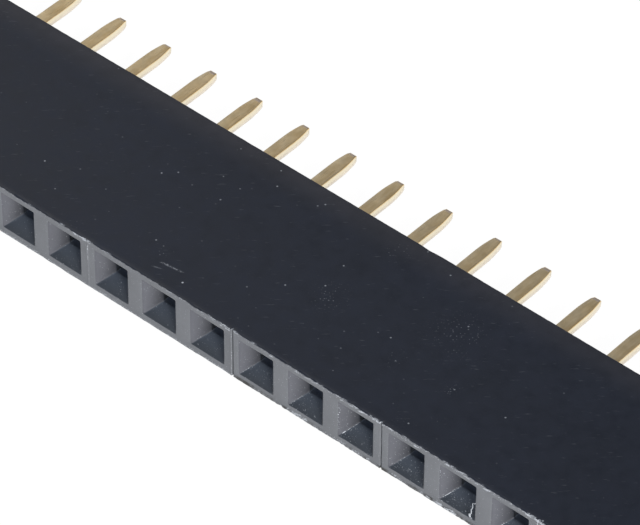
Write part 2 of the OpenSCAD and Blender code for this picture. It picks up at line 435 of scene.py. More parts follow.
class Shell:
    """Collects patches of points and faces in millimetres, and welds them into one closed mesh."""

    def __init__(self):
        self.points = []
        self.faces = []
        self.slots = []
        self.marks = []

    def add(self, points, faces, slot, marks=None):
        """A patch: points as (x, y, z), faces as indices into them, and their material slot or slots."""
        start = len(self.points)
        self.points.extend(tuple(p) for p in points)
        self.marks.extend(marks or [CLEAN] * len(points))
        self.faces.extend([start + i for i in face] for face in faces)
        self.slots.extend(slot if isinstance(slot, list) else [slot] * len(faces))

    def plate(self, points, slot, marks=None):
        """One flat face."""
        self.add(points, [range(len(points))], slot, marks)

    def grid(self, rows, slot, marks=None):
        """A patch from equally long rows of points, with one slot or a list of slots for its columns."""
        across = len(rows[0])
        starts = [r * across + c for r in range(len(rows) - 1) for c in range(across - 1)]
        faces = [(a, a + 1, a + across + 1, a + across) for a in starts]
        flat = [m for row in marks for m in row] if marks else None
        slots = slot * (len(rows) - 1) if isinstance(slot, list) else slot
        self.add([p for row in rows for p in row], faces, slots, flat)

    def tube(self, rings, slot, marks=None):
        """A patch from closed rings of points."""
        ringed = [[*m, m[0]] for m in marks] if marks else None
        self.grid([[*ring, ring[0]] for ring in rings], slot, ringed)

    def build(self, name):
        """The welded mesh object, in metres, with outward faces."""
        mesh = bpy.data.meshes.new(name)
        mesh.from_pydata([[c * MM for c in p] for p in self.points], [], self.faces)
        mesh.polygons.foreach_set("material_index", self.slots)
        for index, label in enumerate(("scuffed", "rubbed_or_torn")):
            values = mesh.attributes.new(label, "FLOAT", "POINT")
            values.data.foreach_set("value", [m[index] for m in self.marks])
        edit = bmesh.new()
        edit.from_mesh(mesh)
        bmesh.ops.remove_doubles(edit, verts=edit.verts, dist=WELD * MM)
        bmesh.ops.dissolve_degenerate(edit, edges=edit.edges, dist=WELD * MM)
        bmesh.ops.recalc_face_normals(edit, faces=edit.faces)
        open_edges = sum(1 for edge in edit.edges if len(edge.link_faces) != 2)
        if open_edges:
            raise RuntimeError(f"{name} is not closed: {open_edges} edges")
        edit.to_mesh(mesh)
        edit.free()
        made = bpy.data.objects.new(name, mesh)
        bpy.context.scene.collection.objects.link(made)
        return made


def dress(made, materials, sharp_angle):
    """Gives a piece its materials, and smooth shading that keeps flat faces flat.

    The shading is split where edges turn by more than the sharp angle, in degrees.
    """
    for material in materials:
        made.data.materials.append(material)
    made.data.shade_smooth()
    made.data.set_sharp_from_angle(angle=math.radians(sharp_angle))
    flat = made.modifiers.new("flat_faces", "WEIGHTED_NORMAL")
    flat.keep_sharp = True
    flat.weight = 80


def wander(rng, count, step, amount):
    """Smooth random offsets: one random value every `step` samples, joined smoothly."""
    knots = rng.uniform(-1.0, 1.0, count // step + 3)
    place = np.arange(count) / step
    before = place.astype(int)
    share = place - before
    share = share * share * (3 - 2 * share)
    return amount * (knots[before] * (1 - share) + knots[before + 1] * share)


def bump_at(x, centre, half_width):
    """A smooth hump of height 1 about a place along X."""
    return np.exp(-(((np.asarray(x) - centre) / half_width) ** 2))


def ramp(value, length=1.0):
    """How far a value has come from 0 to that length, from 0 to 1."""
    return np.clip(value / length, 0, 1)


def arc(centre_a, centre_b, radius, start, stop, steps):
    """Points on an arc between two angles in degrees, in a plane of two directions."""
    turns = np.radians(np.linspace(start, stop, steps + 1))
    return [(centre_a + radius * math.cos(t), centre_b + radius * math.sin(t)) for t in turns]


# ---------------------------------------------------------------- housing

# Material slots of the housing.
SMOOTH_SLOT, ENTRY_SLOT, BORE_SLOT, FUNNEL_SLOT, FLANK_SLOT = range(5)
# The entry face stands back from the moulding's outline, so that flash and lines can stand proud of it.
FACE_INSET = 0.018
# Rows of the grids: along one socket, up a face's border, round a long edge and down a fringe of flash.
STATIONS_PER_SOCKET = 22
WALL_ROWS = 8
ARC_STEPS = 4
FRINGE_STEPS = 3
EDGE_POINTS = FRINGE_STEPS + ARC_STEPS + 1
# Angles at which the rounded end edges are drawn.
END_TURNS = (30, 60, 90)

# Where the mould's inserts meet: a wall after every third socket carries a witness line.
WITNESS_EVERY = 3
WITNESS_OFFSETS = (-0.09, -0.05, -0.02, 0.02, 0.05, 0.09)
# How far the entry face stands back (+) or proud (-) at those offsets, for three kinds of line in turn.
WITNESS_SHAPES = (
    (0.0, -0.008, -0.018, -0.016, 0.0, 0.0),
    (0.0, -0.014, -0.018, 0.09, 0.05, 0.0),
    (0.0, 0.0, 0.07, 0.07, 0.0, 0.0),
)
# A line counts as proud beyond this, and it is uneven by this much.
WITNESS_PROUD, WITNESS_UNEVEN = 0.015, 0.006

# The four long edges, in the order of the section, and the two fringes of flash at the entry face.
ENTRY_TOP, BOARD_TOP, BOARD_LOW, ENTRY_LOW = range(4)
UPPER, LOWER = range(2)
# Each edge's middle radius as a share of the look's edge radius, and how much it wanders, in mm.
EDGE_VARIATION = ((1.2, 0.022), (1.0, 0.006), (1.0, 0.01), (0.5, 0.010))
SHARPEST, ROUNDEST = 0.008, 0.14
# Nicks in the upper board edge: place along the row, half width, depth.
NICKS = ((5.45, 0.28, 0.05), (-31.2, 0.2, 0.03), (28.7, 0.25, 0.035))
# Past this place along the row, the moulding's flash was torn off the lower entry edge.
TORN_FROM_X = 2.56
# Torn patches: place along the row, half width, strength. Past the last one they are random. Their dark
# colour is painted shade, standing in for the contact shadow along the floor.
TORN_SHADE_PATCHES = (
    (3.2, 0.7, 1.0), (4.5, 0.25, 0.6), (5.35, 0.25, 0.6), (6.5, 0.3, 0.45), (9.4, 0.12, 0.5),
    (10.3, 0.42, 1.0), (11.7, 0.4, 0.6), (12.6, 0.35, 0.9),
)
LAST_PATCH_X = 13.5
# How strong the random ones are before that.
FAINT_PATCHES = 0.3
# Where the torn part starts it takes this length to set in, and this length to reach its full wear.
TORN_START, TORN_FULL = 0.15, 6
# The tallest tooth that torn flash left in the lower edge, and the share of that on the untorn part.
TALLEST_TOOTH = 0.06
UNTORN_TEETH = 0.3
# Heights of the fringes: the middle one, and the step in stations and the amount of each layer of wander.
FRINGE_HEIGHTS = ((0.2, (8, 0.03), (2, 0.02)), (0.18, (7, 0.03), (1, 0.04)))
# How far the fringes stand proud of the face at most, and how much further the torn edge does.
FRINGE_LIFT = 0.012
TORN_LIFT = 0.006
# How strong the chipping is beside a witness line, how far beside it, and over what half width.
LINE_CHIPS, LINE_CHIPS_ASIDE, LINE_CHIPS_HALF_WIDTH = 0.35, 0.2, 0.45
# The share of points that are chipped, what full wear adds to it, and the softness of that limit.
CHIPPED, CHIPPED_WORN, CHIPPED_SOFTNESS = 0.06, 0.03, 0.04
# How pale the rubbed fringes are, and what full wear adds to that.
UPPER_PALE, UPPER_WORN = 0.12, 0.1
LOWER_PALE, LOWER_WORN = 0.12, 0.16
# How pale a chip is in a fringe and on an edge, and how pale the lower edge is.
CHIP_PALE, EDGE_CHIP_PALE, LOWER_EDGE_PALE = 0.6, 0.8, 0.3


def wall_middle(after):
    """Place of the middle of the wall after that socket."""
    return (CONTACT_X[after - 1] + CONTACT_X[after]) / 2


def strip_stations(end_radius):
    """Places along the row where the section is drawn, each socket's first one, and each wall's places."""
    end = END_X - end_radius
    walls = [[-end]]
    for after in range(1, len(CONTACT_X)):
        offsets = (0.0,) if after % WITNESS_EVERY else WITNESS_OFFSETS
        walls.append([wall_middle(after) + offset for offset in offsets])
    walls.append([end])
    stations = []
    starts = []
    for here, there in zip(walls, walls[1:]):
        stations.extend(here)
        starts.append(len(stations) - 1)
        stations.extend(np.linspace(here[-1], there[0], STATIONS_PER_SOCKET + 1)[1:-1])
    return np.array(stations + walls[-1]), starts, walls


def witness_relief(stations, walls):
    """How far each station of the entry face stands back (+) or proud (-) at the witness lines."""
    relief = np.zeros(len(stations))
    for after, places in enumerate(walls):
        if len(places) > 1:
            first = int(np.argmin(abs(stations - places[0])))
            kind = after // WITNESS_EVERY % len(WITNESS_SHAPES)
            relief[first:first + len(places)] = WITNESS_SHAPES[kind]
    return relief


class EdgeWear:
    """How the four long edges vary from station to station.

    Along both entry edges a fringe of flash was rubbed over: it is paler along the upper edge, and
    torn off along the far half of the lower one, where dark patches of painted shade stand in for the
    contact shadow along the floor.
    """

    def __init__(self, rng, stations, look):
        count = len(stations)

        def wanders(*layers):
            return sum(wander(rng, count, step, amount) for step, amount in layers)

        self.radii = np.zeros((4, count))
        for edge, (middle, amount) in enumerate(EDGE_VARIATION):
            self.radii[edge] = look.edge_radius / MM * middle + wanders((9, amount), (2, amount), (1, amount))
        for place, half_width, depth in NICKS:
            self.radii[BOARD_TOP] += depth * bump_at(stations, place, half_width)
        far = ramp(stations - TORN_FROM_X, TORN_START)
        teeth = np.clip(wanders((5, 0.04), (1, 0.03)), 0, TALLEST_TOOTH)
        self.radii[ENTRY_LOW] += teeth * np.maximum(far, UNTORN_TEETH)
        self.radii = np.clip(self.radii, SHARPEST, ROUNDEST)
        self.fringe = np.array([middle + wanders(*layers) for middle, *layers in FRINGE_HEIGHTS])
        self.lifts = rng.uniform(0.0, FRINGE_LIFT, (2, FRINGE_STEPS + 1, count))
        self.lifts[LOWER, 0] += TORN_LIFT * far
        patches = ramp(wanders((9, 1.4), (2, 0.4)))
        patches = np.where(stations > LAST_PATCH_X, patches, FAINT_PATCHES * patches)
        for place, half_width, strength in TORN_SHADE_PATCHES:
            patches = np.maximum(patches, strength * bump_at(stations, place, half_width))
        # The torn mask also paints shade: it darkens the lower entry edge in patches, for the contact shadow
        # along the floor.
        self.torn_shade = ramp(patches + wanders((1, 0.35))) * far
        # What is left of the flash there stands out, with a sharp lower edge.
        self.radii[ENTRY_LOW] += (SHARPEST - self.radii[ENTRY_LOW]) * self.torn_shade
        self.lifts[LOWER] += FACE_INSET * self.torn_shade
        self.far = ramp(stations - TORN_FROM_X, TORN_FULL)
        hits = rng.random((FRINGE_STEPS + 1, count))
        hits = np.minimum(hits, np.roll(hits, 1, axis=1) + 0.02)
        # The flash chips most beside the upper ends of the witness lines.
        for after in range(WITNESS_EVERY, len(CONTACT_X), WITNESS_EVERY):
            middle = wall_middle(after) - LINE_CHIPS_ASIDE
            hits -= LINE_CHIPS * bump_at(stations, middle, LINE_CHIPS_HALF_WIDTH)
        self.chips = ramp(CHIPPED + CHIPPED_WORN * self.far - hits, CHIPPED_SOFTNESS)

    def upper_marks(self, index, step):
        """Marks of a point on the upper fringe or on the edge above it."""
        if 0 < step <= FRINGE_STEPS:
            rubbed_and_shaded = UPPER_PALE + UPPER_WORN * self.far[index]
            return (rubbed_and_shaded + CHIP_PALE * self.chips[step, index], 0.0)
        if FRINGE_STEPS < step <= FRINGE_STEPS + 2:
            return (EDGE_CHIP_PALE * self.chips[0, index], 0.0)
        return CLEAN

    def lower_marks(self, index, step):
        """Marks of a point on the lower edge or on the fringe above it, counted up to the face."""
        if step == ARC_STEPS + FRINGE_STEPS:
            return CLEAN
        torn_shade = self.torn_shade[index]
        fringe_pale = LOWER_PALE + LOWER_WORN * self.far[index]
        pale = (LOWER_EDGE_PALE if step <= ARC_STEPS + 1 else fringe_pale) * (1 - torn_shade)
        crumb = CHIP_PALE * self.chips[step % (FRINGE_STEPS + 1), -index] * self.far[index]
        return (pale + crumb, torn_shade)


# The broad face's two scratches: middle along the row, depth there, slope, how far to each side the grid
# follows the slope, half width, half length, length of the faded ends, strength.
SHORT_SCRATCH = (-1.93, 0.67, 0.28, 0.5, 0.05, 0.21, 0.1, 0.32)
LONG_SCRATCH = (-1.53, 1.05, 0.124, 1.0, 0.06, 0.55, 0.12, 0.5)
# Room that the broad face's grid leaves along both long edges, and its lines between and behind the
# scratches.
TOP_MARGIN = 0.25
BETWEEN_SCRATCHES = 0.86
TOP_DEPTHS = np.linspace(1.35, BOARD_Y - ENTRY_Y - TOP_MARGIN, 21)
# The same for the resting side: its margin, and the number of lines.
UNDERSIDE_MARGIN = 0.3
UNDERSIDE_LINES = 9
# A point this close to a scratch's middle line is on it.
ON_SCRATCH = 0.004
# Least radius of a long edge where the rounded ends take it in.
LEAST_RADIUS = 0.002
# Rubbed patches on the broad face: place along the row, depth behind the entry face, radius, strength.
RUBBED = (
    (4.23, 3.87, 0.55, 0.8), (4.61, 7.52, 0.35, 0.9), (9.38, 5.59, 0.9, 0.55), (8.35, 3.00, 0.3, 1.0),
    (11.10, 3.18, 0.2, 0.9), (-2.36, 1.23, 0.18, 1.0), (9.09, 0.52, 0.12, 1.0), (-21.0, 6.4, 0.7, 0.6),
    (6.9, 0.42, 0.12, 0.9), (10.6, 0.5, 0.2, 0.9), (3.9, 0.45, 0.15, 0.9), (0.9, 0.5, 0.15, 0.9),
    (11.56, 1.42, 0.15, 1.0), (9.72, 4.98, 0.2, 0.8), (12.3, 0.4, 0.15, 0.9), (-6.0, 0.4, 0.15, 0.8),
    (22.5, 2.4, 0.6, 0.7), (-35.5, 3.6, 0.8, 0.6), (38.2, 6.9, 0.7, 0.6),
)


def scratch_lines(x, scratch):
    """Depths of a scratch's near side, middle and far side at a place along the row."""
    middle, depth, slope, follow, half_width = scratch[:5]
    here = depth + slope * np.clip(x - middle, -follow, follow)
    return [here - half_width, here, here + half_width]


def top_lines(x):
    """Places across the broad face where its grid is drawn: even, and close beside the two scratches."""
    near = [TOP_MARGIN, *scratch_lines(x, SHORT_SCRATCH), BETWEEN_SCRATCHES]
    return [ENTRY_Y + depth for depth in [*near, *scratch_lines(x, LONG_SCRATCH), *TOP_DEPTHS]]


def top_marks(x, y):
    """How scuffed and how rubbed the broad face is at a place."""
    scuffed = 0.0
    for scratch in (SHORT_SCRATCH, LONG_SCRATCH):
        half_length, fade, strength = scratch[5:]
        if abs(y - ENTRY_Y - scratch_lines(x, scratch)[1]) < ON_SCRATCH:
            scuffed = strength * ramp(half_length - abs(x - scratch[0]), fade)
    rubbed_and_shaded = 0.0
    for centre_x, centre_depth, radius, strength in RUBBED:
        away = math.hypot(x - centre_x, y - ENTRY_Y - centre_depth) / radius
        if away < 2:
            rubbed_and_shaded = max(rubbed_and_shaded, strength * math.exp(-away * away))
    return (scuffed, rubbed_and_shaded)


def section(x, wear, index, relief, inset):
    """Upper and lower run of the strip's section at one station, each as (y, z) points."""
    front = ENTRY_Y + FACE_INSET + relief + inset
    back = BOARD_Y - inset
    low = FLOOR_Z + inset
    high = TOP_Z - inset
    entry_top, board_top, board_low, entry_low = [
        max(radius - inset, LEAST_RADIUS) for radius in wear.radii[:, index]
    ]

    def lifted(fringe, step):
        return max(front - wear.lifts[fringe, step, index], ENTRY_Y)

    upper = [(max(front, ENTRY_Y), high - wear.fringe[UPPER, index])]
    for step in range(1, FRINGE_STEPS):
        share = step / FRINGE_STEPS
        z = high - wear.fringe[UPPER, index] * (1 - share) - entry_top * share
        upper.append((lifted(UPPER, step), z))
    upper += arc(lifted(UPPER, -1) + entry_top, high - entry_top, entry_top, 180, 90, ARC_STEPS)
    upper += [(y, high) for y in top_lines(x)]
    upper += arc(back - board_top, high - board_top, board_top, 90, 0, ARC_STEPS)
    lower = arc(back - board_low, low + board_low, board_low, 0, -90, ARC_STEPS)
    lower += [(y, low) for y in np.linspace(
        BOARD_Y - UNDERSIDE_MARGIN, ENTRY_Y + UNDERSIDE_MARGIN, UNDERSIDE_LINES
    )]
    lower += arc(lifted(LOWER, 0) + entry_low, low + entry_low, entry_low, -90, -180, ARC_STEPS)
    for step in range(1, FRINGE_STEPS):
        share = step / FRINGE_STEPS
        z = low + entry_low * (1 - share) + wear.fringe[LOWER, index] * share
        lower.append((lifted(LOWER, step), z))
    lower.append((max(front, ENTRY_Y), low + wear.fringe[LOWER, index]))
    return upper, lower


def wall_line(low, high):
    """Points up an end of the section, from its lower run to its upper run."""
    return [(low[0], low[1], low[2] + (high[2] - low[2]) * r / WALL_ROWS) for r in range(WALL_ROWS + 1)]


# A funnel's rings have this many points: five round each corner and five along each side.
RING_POINTS = 40
# How far along each side its outermost points are.
SIDE_END = 0.76
# Each corner's sides, and the way that the side after it faces.
RING_QUARTERS = (((1, 1), (0, 1)), ((-1, 1), (-1, 0)), ((-1, -1), (0, -1)), ((1, -1), (1, 0)))
# The slot of each column of faces round a funnel: its flanks face along the row. Floors and flanks are lit
# and shaded copies of one plastic, with their own colours and tone ramps as painted light and shade.
FUNNEL_COLUMNS = [
    FLANK_SLOT if 12 <= column % 20 or column % 20 < 2 else FUNNEL_SLOT for column in range(RING_POINTS)
]
# Painted shade: the throat's side walls are drawn darker than its floor, with the dark shade colour.
SHADED_THROAT_WALLS = [(0.0, 0.8) if slot == FLANK_SLOT else CLEAN for slot in FUNNEL_COLUMNS]
# Corner radii at the funnel's mouth, at its end and in the throat.
MOUTH_CORNER, FUNNEL_END_CORNER, THROAT_CORNER = 0.07, 0.045, 0.04
# The pins have rounded each mouth's left lip further: its radius, and its share in each column of a ring.
WORN_LIP_RADIUS = 0.2
WORN_LIP_SHARE = np.interp(range(RING_POINTS), (10, 14, 20, 24), (0.0, 1.0, 1.0, 0.0))
# How far round the lip its rings are, and the number of rings down the funnel.
LIP_SHARES = (0.0, 0.33, 0.67, 1.0)
FUNNEL_RINGS = 8
# The first of those is this far behind the face, and the last this far ahead of the funnel's end.
FUNNEL_START, FUNNEL_STOP = 0.1, 0.03
# The funnel turns into the throat at two rings: how much wider, and how far behind the funnel's end.
THROAT_LIP = ((0.004, 0.01), (0.0, 0.04))
# A chip in a mouth's edge gets a painted glint, a highlight drawn in the pale scuff colour, from this depth
# on, fully this much deeper, and this pale.
GLINT_FROM, GLINT_OVER, GLINT = 0.012, 0.02, 0.5
# How much the mouths' edges are chipped at least, from that socket on.
CHIPPED_FROM = {1: 0.006, 22: 0.02}
# How dusty the funnels are from that socket on. Most of it lies on the funnel's floor.
DUSTY_FROM = {1: 0.04, 22: 0.18, 24: 0.28, 25: 0.36}
DUST_SHARE = np.array([0.2] * 22 + [1.0] * 9 + [0.2] * 9)
# Sockets whose lower left valley holds a bright hairline, and how strong it is: partly flash, and partly
# painted highlight of the light that the valley catches.
VALLEY_FLASH_AND_HIGHLIGHT = {
    17: 0.0, 18: 0.0, 19: 0.0, 20: 0.1, 21: 0.3, 22: 0.7, 23: 0.75, 24: 0.9, 25: 0.8, 26: 1.1, 27: 1.0,
}
# That valley's column, and how the hairline's strength runs from ring to ring.
VALLEY_COLUMN = 22
VALLEY_STEPS = (0, 1, 2, 4, 9)
VALLEY_RUN = (0.3, 1.0, 0.85, 0.5, 0.4)


def socket_ring(half_width, half_height, corner, centre_x, y, slot_share, jitter):
    """A closed ring of points around a socket: four round corners and five points on each side."""
    ring = []
    for quarter, ((side_x, side_z), (facing_x, facing_z)) in enumerate(RING_QUARTERS):
        middle = (side_x * (half_width - corner), side_z * (half_height - corner))
        ring += arc(*middle, corner, 90 * quarter, 90 * quarter + 90, 4)
        for share in (-SIDE_END, -slot_share, 0.0, slot_share, SIDE_END):
            ring.append((
                (facing_x - share * facing_z) * half_width, (facing_z + share * facing_x) * half_height
            ))
    reaches = np.full(len(ring), 1 + jitter / half_width)
    return [(centre_x + x * reach, y, MID_Z + z * reach) for (x, z), reach in zip(ring, reaches)]


def funnel_rings(rng, look, centre_x, chips, valley, dust):
    """Rings from the entry face, round the mouth's edge, down the funnel and through the throat."""
    face = ENTRY_Y + FACE_INSET
    mouth = (look.mouth_width / 2 / MM, look.mouth_height / 2 / MM)
    hole = look.pin_hole / 2 / MM
    depth = look.funnel_depth / MM
    turn = math.pi / 2 - math.atan((mouth[0] - hole) / depth)
    rough = wander(rng, RING_POINTS, 2, chips)
    rings = []
    marks = []

    def ring(half_width, half_height, corner, y, jitter=0.0):
        return socket_ring(half_width, half_height, corner, centre_x, y, SLOT_HALF_HEIGHT / hole, jitter)

    for share in LIP_SHARES:
        angle = turn * share
        lips = []
        for radius in (look.mouth_radius / MM, WORN_LIP_RADIUS):
            out = radius * (math.tan(turn / 2) - math.sin(angle))
            y = face + radius * (1 - math.cos(angle))
            lips.append(np.array(ring(mouth[0] + out, mouth[1] + out, MOUTH_CORNER, y, rough * (1 - share))))
        rings.append([tuple(p) for p in lips[0] + (lips[1] - lips[0]) * WORN_LIP_SHARE[:, None]])
        glint = ramp(abs(rough) - GLINT_FROM, GLINT_OVER) * (GLINT if 0 < share < 1 else 0)
        marks.append([(g, 0.0) for g in glint])
    for down in np.linspace(FUNNEL_START, depth - FUNNEL_STOP, FUNNEL_RINGS):
        part = down / depth
        half_width, half_height = [half + (hole - half) * part for half in mouth]
        corner = MOUTH_CORNER + (FUNNEL_END_CORNER - MOUTH_CORNER) * part
        rings.append(ring(half_width, half_height, corner, face + down))
    for out, behind in THROAT_LIP:
        rings.append(ring(hole + out, hole + out, THROAT_CORNER, face + depth + behind))
    rings.append(ring(hole, hole, THROAT_CORNER, ENTRY_Y + look.throat_depth / MM))
    for step in range(len(rings) - len(marks)):
        dusty = ramp(rng.uniform(-0.15, 0.6, RING_POINTS)) * dust * DUST_SHARE
        line = [(d, 0.0) for d in dusty]
        run = np.interp(step, VALLEY_STEPS, VALLEY_RUN)
        line[VALLEY_COLUMN] = (valley * run * rng.uniform(0.2, 1.0), 0.0)
        marks.append(line)
    return rings, marks


# The contact's flat slot: room beside the stamping's faces and for the arms to spread, half widths, and
# the bevel round the slot in the board face.
FACE_CLEARANCE, SPREAD_CLEARANCE = 0.03, 0.09
SLOT_HALF_HEIGHT = STOCK / 2 + FACE_CLEARANCE
FORK_SLOT_HALF = FORK_HALF + SPREAD_CLEARANCE
BODY_SLOT_HALF = BARB_HALF
SLOT_BEVEL = 0.03
# Points of a throat's ring where the slot meets it: its middle on the left and on the right.
LEFT_MIDDLE, RIGHT_MIDDLE = 17, 37


def at_depth(points, y):
    """The same points moved to another depth."""
    return [(p[0], y, p[2]) for p in points]


def slot_loop(centre_x, y, half_widths, bevel=0.0):
    """A closed loop around the contact's flat slot, with points at each of those half widths."""
    xs = sorted([-w for w in half_widths] + list(half_widths))
    half_height = SLOT_HALF_HEIGHT + bevel
    upper = [(centre_x + x, y, MID_Z + half_height) for x in xs]
    return upper + [(centre_x + x, y, MID_Z - half_height) for x in reversed(xs)]


def add_socket(shell, rng, look, centre_x, chips, valley, dust):
    """One socket from its mouth to the board face. Returns the rings that the two faces close on."""
    rings, marks = funnel_rings(rng, look, centre_x, chips, valley, dust)
    deepest = len(LIP_SHARES) + FUNNEL_RINGS
    shell.tube(rings[:2], ENTRY_SLOT, marks[:2])
    shell.tube(rings[1:deepest + 1], FUNNEL_COLUMNS, marks[1:deepest + 1])
    throat_shade = [[CLEAN] * RING_POINTS] + [SHADED_THROAT_WALLS] * (len(rings) - deepest - 1)
    shell.tube(rings[deepest:], BORE_SLOT, throat_shade)
    # The throat opens to both sides into the fork's slot, and ends at the fork's end.
    throat = rings[-1]
    throat_y = throat[0][1]
    left, right = [
        [(centre_x + side * FORK_SLOT_HALF, throat_y, MID_Z + h * SLOT_HALF_HEIGHT) for h in (-side, side)]
        for side in (-1, 1)
    ]
    for middle, corners in ((LEFT_MIDDLE, left), (RIGHT_MIDDLE, right)):
        shell.plate([throat[middle - 1], *corners, throat[middle + 1], throat[middle]], BORE_SLOT)
    notched = throat[:LEFT_MIDDLE] + left + throat[LEFT_MIDDLE + 1:RIGHT_MIDDLE] + right
    notched += throat[RIGHT_MIDDLE + 1:]
    fork_y = ENTRY_Y + FORK_END
    shell.tube([notched, at_depth(notched, fork_y)], BORE_SLOT)
    deep = at_depth(throat, fork_y)
    shell.plate(deep[RIGHT_MIDDLE + 1:] + deep[:LEFT_MIDDLE], BORE_SLOT)
    shell.plate(deep[LEFT_MIDDLE + 1:RIGHT_MIDDLE], BORE_SLOT)
    # Behind it the slot is flat: as wide as the fork, and then as wide as the body.
    fork = (look.pin_hole / 2 / MM, FORK_SLOT_HALF)
    body = (*fork, BODY_SLOT_HALF)
    body_y = ENTRY_Y + BODY_FRONT
    bevel_y = BOARD_Y - SLOT_BEVEL
    shell.tube([slot_loop(centre_x, y, fork) for y in (fork_y, body_y)], BORE_SLOT)
    for side in (-1, 1):
        corners = ((FORK_SLOT_HALF, 1), (BODY_SLOT_HALF, 1), (BODY_SLOT_HALF, -1), (FORK_SLOT_HALF, -1))
        step = [(centre_x + side * w, body_y, MID_Z + h * SLOT_HALF_HEIGHT) for w, h in corners]
        shell.plate(step, BORE_SLOT)
    shell.tube([slot_loop(centre_x, y, body) for y in (body_y, bevel_y)], BORE_SLOT)
    board_ring = slot_loop(centre_x, BOARD_Y, (*fork, BODY_SLOT_HALF + SLOT_BEVEL), SLOT_BEVEL)
    shell.tube([slot_loop(centre_x, bevel_y, body), board_ring], SMOOTH_SLOT)
    return rings[0], board_ring


# A thread of flash hangs in one mouth: places beside the socket's middle, heights, and half thicknesses.
THREAD_SOCKET = 26
THREAD = (
    (0.88, 1.33, 0.012), (0.80, 1.22, 0.022), (0.70, 1.19, 0.012), (0.715, 0.98, 0.020),
    (0.65, 0.80, 0.018), (0.655, 0.62, 0.032), (0.57, 0.50, 0.045), (0.60, 0.37, 0.038),
    (0.68, 0.36, 0.022), (0.77, 0.33, 0.010),
)
THREAD_DEPTH = 0.045
FRAYED = (0.55, 0.0)


def add_thread(shell, rng, centre_x):
    """The thread of flash, as a closed, uneven, five-sided wire just behind the entry face."""
    rings = []
    for place, (side, z, half) in enumerate(THREAD):
        before = THREAD[max(place - 1, 0)]
        after = THREAD[min(place + 1, len(THREAD) - 1)]
        run = np.array([after[0] - before[0], after[1] - before[1]])
        run = run / np.linalg.norm(run)
        ring = []
        for turn in np.radians(np.arange(0, 360, 72)):
            reach = half * rng.uniform(0.75, 1.2)
            across = reach * math.cos(turn)
            y = ENTRY_Y + THREAD_DEPTH + reach * math.sin(turn)
            ring.append((centre_x + side - run[1] * across, y, z + run[0] * across))
        rings.append(ring)
    frayed = [FRAYED] * len(rings[0])
    shell.tube(rings, ENTRY_SLOT, [frayed] * len(rings))
    shell.plate(rings[0], ENTRY_SLOT, frayed)
    shell.plate(rings[-1], ENTRY_SLOT, frayed)


def is_inside(x, z, ring):
    """True if a place on the face is inside a hole's ring."""
    crossings = 0
    for here, there in zip(ring, ring[1:] + ring[:1]):
        if (here[2] > z) != (there[2] > z):
            share = (z - here[2]) / (there[2] - here[2])
            crossings += x < here[0] + share * (there[0] - here[0])
    return crossings % 2 == 1


def add_pierced_face(shell, border, hole, slot):
    """A flat face between a closed border and the ring of a hole in it."""
    every = border + hole
    points = [Vector((p[0], p[2])) for p in every]
    first = len(border)
    edges = [(first + i, first + (i + 1) % len(hole)) for i in range(len(hole))]
    found = delaunay_2d_cdt(points, edges, [list(range(first))], 1, 1e-7)
    if len(found[0]) != len(points):
        raise RuntimeError("a pierced face gained points")
    kept = []
    for face in found[2]:
        x, z = [sum(every[i][axis] for i in face) / len(face) for axis in (0, 2)]
        if not is_inside(x, z, hole):
            kept.append(face)
    shell.add(every, kept, slot)


def face_border(rows, first, last, end):
    """The closed border of one socket's part of the entry face (end 0) or board face (end -1)."""
    low = [lower[-1 - end] for upper, lower in rows[first:last + 1]]
    high = [upper[end] for upper, lower in rows[first:last + 1]]
    right = wall_line(low[-1], high[-1])[1:-1]
    left = wall_line(low[0], high[0])[1:-1]
    return low + right + high[::-1] + left[::-1]


def add_witness(shell, rng, rows, first, last):
    """The line that two mould inserts leave up the middle of a wall, and plain board face behind it."""
    for end, slot in ((0, ENTRY_SLOT), (-1, SMOOTH_SLOT)):
        lines = []
        marks = []
        for i in range(first, last + 1):
            upper, lower = rows[i]
            low = lower[-1 - end]
            proud = low[1] < ENTRY_Y + FACE_INSET - WITNESS_PROUD
            line = []
            line_marks = []
            for r, (x, y, z) in enumerate(wall_line(low, upper[end])):
                if end == 0 and 0 < r < WALL_ROWS and first < i < last:
                    y += rng.uniform(-WITNESS_UNEVEN, WITNESS_UNEVEN)
                line.append((x, max(y, ENTRY_Y), z))
                # The line is rubbed paler towards the upper edge.
                lightened = 0.5 + (r / WALL_ROWS) ** 3
                line_marks.append((lightened * rng.uniform(0.0, 0.6), 0.0) if proud else CLEAN)
            lines.append(line)
            marks.append(line_marks)
        shell.grid(lines, slot, marks)


